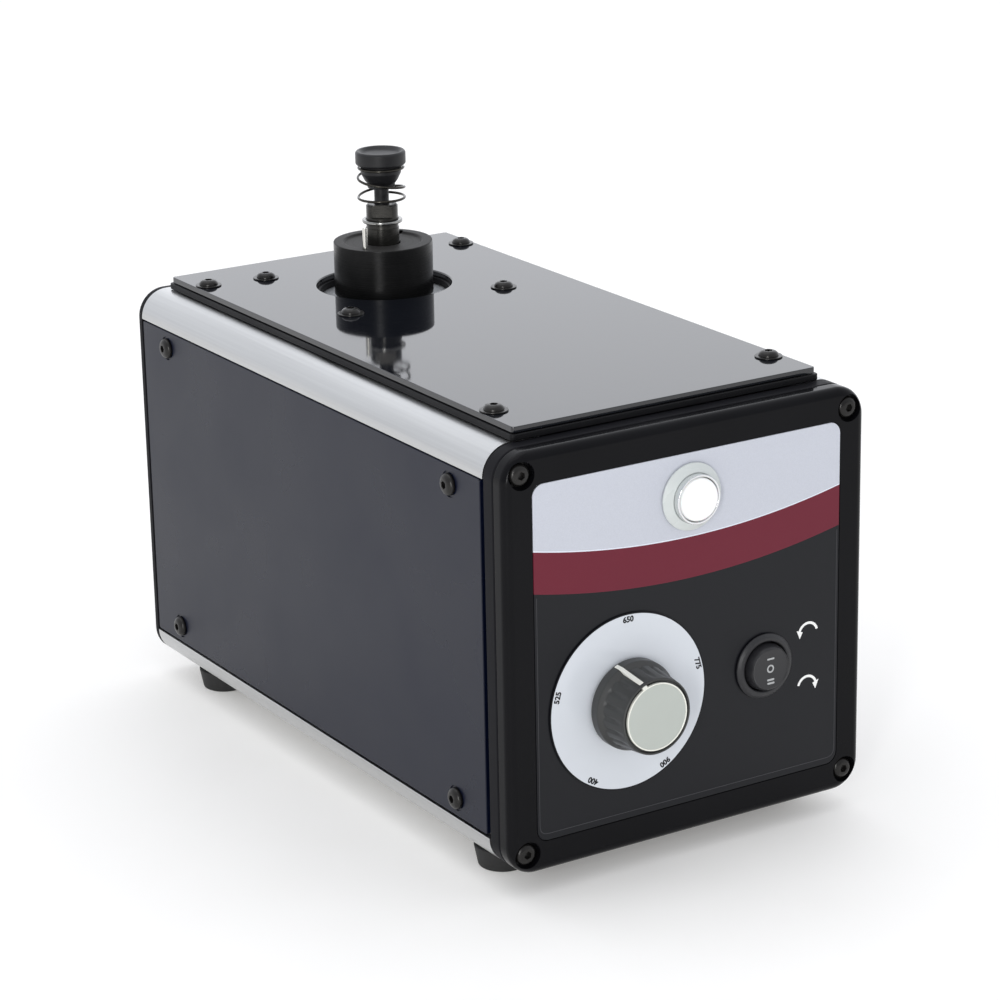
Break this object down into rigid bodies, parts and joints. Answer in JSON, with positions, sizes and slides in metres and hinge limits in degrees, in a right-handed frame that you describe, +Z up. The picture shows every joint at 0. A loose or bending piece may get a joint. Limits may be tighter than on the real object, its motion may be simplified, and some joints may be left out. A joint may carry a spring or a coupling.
{
  "type": "glass grinder",
  "caption": "Bench grinding machine for glass: a boxed motor with a vertical spindle through a black top plate, and front speed dial, direction switch and push button.",
  "frame": {"origin": "on the ground under the middle of the whole bounding box", "axes": "+X to the right seen from the front, +Y to the rear along the body's length, +Z up"},
  "size_m": [0.1478, 0.2864, 0.2091],
  "materials": {
    "gloss_black": "glossy black moulding",
    "frame_grey": "satin dark grey coating",
    "rail_silver": "satin brushed extrusion",
    "panel_slate": "satin dark blue-grey coating",
    "plate_black": "mirror-glossy black plate",
    "gasket_black": "matte black",
    "label_print": "printed polycarbonate: silver above, burgundy band, charcoal below",
    "dial_white": "satin silver-white print",
    "bright_steel": "bright machined steel",
    "blackened_steel": "black oxide",
    "satin_steel": "satin turned steel",
    "knob_black": "black moulded plastic",
    "spring_black": "black oxide wire",
    "cap_silver": "satin silver inlay",
    "lens_white": "milky white",
    "bezel_ivory": "off-white moulded ring",
    "foot_rubber": "matte black rubber",
    "cast_grey": "grey coated metal",
    "board_green": "green circuit board"
  },
  "bodies": {
    "chassis": {"front_bezel": "gloss_black", "front_plate": "frame_grey", "rear_panel": "frame_grey", "base_plate": "frame_grey", "lower_left_rail": "rail_silver", "upper_left_rail": "rail_silver", "lower_right_rail": "rail_silver", "upper_right_rail": "rail_silver", "left_side_panel": "panel_slate", "right_side_panel": "panel_slate", "top_plate": "plate_black", "top_gasket": "gasket_black", "front_label": "label_print", "dial_plate": "dial_white", "front_screw_1": "blackened_steel", "left_side_screw_1": "blackened_steel", "right_side_screw_1": "blackened_steel", "top_screw_1": "blackened_steel", "motor_screw_1": "blackened_steel", "front_screw_2": "blackened_steel", "left_side_screw_2": "blackened_steel", "right_side_screw_2": "blackened_steel", "top_screw_2": "blackened_steel", "motor_screw_2": "blackened_steel", "front_screw_3": "blackened_steel", "left_side_screw_3": "blackened_steel", "right_side_screw_3": "blackened_steel", "top_screw_3": "blackened_steel", "motor_screw_3": "blackened_steel", "front_screw_4": "blackened_steel", "left_side_screw_4": "blackened_steel", "right_side_screw_4": "blackened_steel", "top_screw_4": "blackened_steel", "motor_screw_4": "blackened_steel", "front_left_foot": "foot_rubber", "front_right_foot": "foot_rubber", "rear_left_foot": "foot_rubber", "rear_right_foot": "foot_rubber", "motor_flange": "cast_grey", "motor_housing": "cast_grey", "power_supply": "cast_grey", "control_board": "board_green", "upper_bearing": "bright_steel", "lower_bearing": "bright_steel", "speed_potentiometer": "satin_steel", "switch_housing": "knob_black", "mains_inlet": "knob_black", "fuse_holder": "knob_black", "button_housing": "bezel_ivory"},
    "spindle": {"motor_rotor": "satin_steel", "spindle_shaft": "blackened_steel", "drive_hub": "blackened_steel", "drive_pin": "bright_steel", "retaining_ring": "bright_steel"},
    "hold_down": {"hold_down_knob": "knob_black", "hold_down_spring": "spring_black"},
    "speed_dial": {"speed_knob": "knob_black", "speed_knob_cap": "cap_silver"},
    "rocker": {"switch_rocker": "knob_black"},
    "button": {"button_lens": "lens_white"}
  },
  "joints": [
    {"name": "spindle_spin", "type": "hinge", "parent": "chassis", "child": "spindle", "pos_m": [0, 0.0722, 0.1588], "axis": [0, 0, 1], "continuous": true},
    {"name": "hold_down_slide", "type": "slide", "parent": "spindle", "child": "hold_down", "axis": [0, 0, 1], "range_m": [-0.0055, 0.012]},
    {"name": "speed_turn", "type": "hinge", "parent": "chassis", "child": "speed_dial", "pos_m": [-0.0254, -0.1348, 0.0613], "axis": [0, -1, 0], "range_deg": [-176, 124]},
    {"name": "switch_rock", "type": "hinge", "parent": "chassis", "child": "rocker", "pos_m": [0.0299, -0.1266, 0.0619], "axis": [1, 0, 0], "range_deg": [-12, 12]},
    {"name": "button_press", "type": "slide", "parent": "chassis", "child": "button", "axis": [0, 1, 0], "range_m": [0, 0.003], "stiffness_N_per_m": 500, "springref_m": -0.002}
  ]
}
